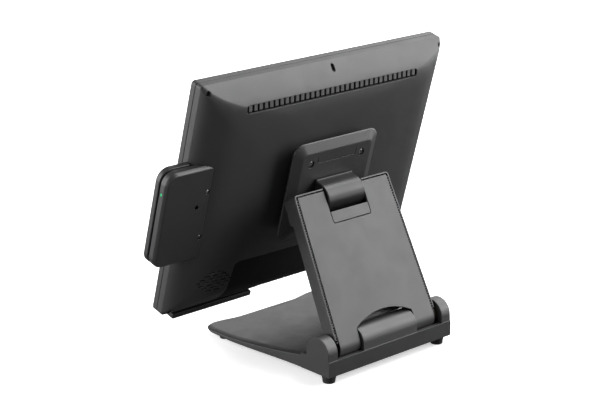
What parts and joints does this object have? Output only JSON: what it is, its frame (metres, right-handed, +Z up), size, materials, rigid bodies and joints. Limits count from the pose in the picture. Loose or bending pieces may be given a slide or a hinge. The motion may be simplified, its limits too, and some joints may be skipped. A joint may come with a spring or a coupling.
{
  "type": "point of sale touchscreen terminal",
  "caption": "Countertop touchscreen terminal: 4:3 screen on a two-hinge tilting stand with a low base, vented rear shell, cable bay and a side magnetic stripe card reader.",
  "frame": {"origin": "on the floor, under the middle of the whole object's box", "axes": "+X to the user's right, towards the card reader; +Y to the rear, away from the user; +Z up"},
  "size_m": [0.3941, 0.2115, 0.327],
  "materials": {
    "stand_plastic": "fine grained dark charcoal ABS",
    "bottom_cover_plastic": "matte dark ABS",
    "foot_rubber": "black rubber",
    "shaft_steel": "ground steel",
    "washer_brass": "brass-plated steel",
    "weight_steel": "raw steel plate",
    "arm_frame_plastic": "fine grained dark charcoal ABS",
    "arm_cover_plastic": "fine grained charcoal ABS, catching the light",
    "core_steel": "zinc-plated steel",
    "bracket_zinc": "zinc-plated steel",
    "case_plastic": "fine grained dark charcoal ABS",
    "io_cover_plastic": "matte near-black ABS",
    "glass_black": "black glossy touch glass, opaque when off",
    "bezel_plastic": "fine grained dark charcoal ABS",
    "lcd_panel_metal": "pressed metal frame",
    "chassis_steel": "zinc-plated sheet steel",
    "board_green": "solder-masked circuit board",
    "heatsink_aluminium": "extruded aluminium",
    "drive_aluminium": "stamped aluminium",
    "speaker_black": "black plastic",
    "port_bracket_steel": "sheet steel",
    "socket_metal": "plated shell",
    "socket_black": "black plastic",
    "vent_plastic": "fine grained charcoal ABS",
    "plate_plastic": "fine grained charcoal ABS",
    "spacer_plastic": "matte dark ABS",
    "knuckle_plastic": "satin charcoal plastic",
    "rail_plastic": "matte dark ABS",
    "screw_steel": "bright plated steel",
    "reader_plastic": "satin dark charcoal ABS",
    "read_head_metal": "polished alloy",
    "reader_lens_green": "translucent green lens",
    "button_plastic": "satin charcoal plastic"
  },
  "bodies": {
    "base": {"base_shell": "stand_plastic", "base_bottom_cover": "bottom_cover_plastic", "foot_rear_left": "foot_rubber", "foot_rear_right": "foot_rubber", "foot_front_left": "foot_rubber", "foot_front_right": "foot_rubber", "lower_hinge_shaft": "shaft_steel", "lower_hinge_washer_left": "washer_brass", "lower_hinge_washer_right": "washer_brass", "base_weight": "weight_steel"},
    "arm": {"arm_frame": "arm_frame_plastic", "arm_rear_cover": "arm_cover_plastic", "hinge_access_panel": "arm_cover_plastic", "arm_core": "core_steel", "upper_hinge_bracket_left": "bracket_zinc", "upper_hinge_bracket_right": "bracket_zinc", "upper_hinge_shaft": "shaft_steel"},
    "screen": {"front_bezel": "bezel_plastic", "touch_glass": "glass_black", "lcd_panel": "lcd_panel_metal", "chassis_plate": "chassis_steel", "mainboard": "board_green", "heatsink": "heatsink_aluminium", "storage_drive": "drive_aluminium", "speaker_left": "speaker_black", "speaker_right": "speaker_black", "rear_shell": "case_plastic", "vent_grille": "vent_plastic", "io_cover": "io_cover_plastic", "port_bracket": "port_bracket_steel", "lan_socket": "socket_metal", "usb_socket_stack": "socket_metal", "serial_socket": "socket_metal", "video_socket": "socket_black", "power_socket": "socket_black", "mount_plate": "plate_plastic", "mount_spacer": "spacer_plastic", "hinge_knuckle": "knuckle_plastic", "bottom_rail_left": "rail_plastic", "bottom_rail_right": "rail_plastic", "case_screw_top_left": "screw_steel", "case_screw_top_right": "screw_steel", "case_screw_low_left": "screw_steel", "case_screw_low_right": "screw_steel", "plate_screw_top_left": "screw_steel", "plate_screw_top_right": "screw_steel", "plate_screw_low_left": "screw_steel", "plate_screw_low_right": "screw_steel", "reader_rear_cover": "reader_plastic", "reader_front_cover": "reader_plastic", "read_head": "read_head_metal", "reader_board": "board_green", "reader_status_lens": "reader_lens_green", "reader_screw_top": "screw_steel", "reader_screw_low": "screw_steel"},
    "power_button": {"power_button": "button_plastic"}
  },
  "joints": [
    {"name": "stand_fold", "type": "hinge", "parent": "base", "child": "arm", "pos_m": [-0.0192, 0.0876, 0.034], "axis": [1, 0, 0], "range_deg": [-26, 5]},
    {"name": "screen_tilt", "type": "hinge", "parent": "arm", "child": "screen", "pos_m": [-0.0192, 0.01661, 0.17471], "axis": [1, 0, 0], "range_deg": [-45, 10]},
    {"name": "power_button_press", "type": "slide", "parent": "screen", "child": "power_button", "axis": [1, 0, 0], "range_m": [0, 0.0015], "stiffness_N_per_m": 400, "springref_m": -0.001}
  ]
}
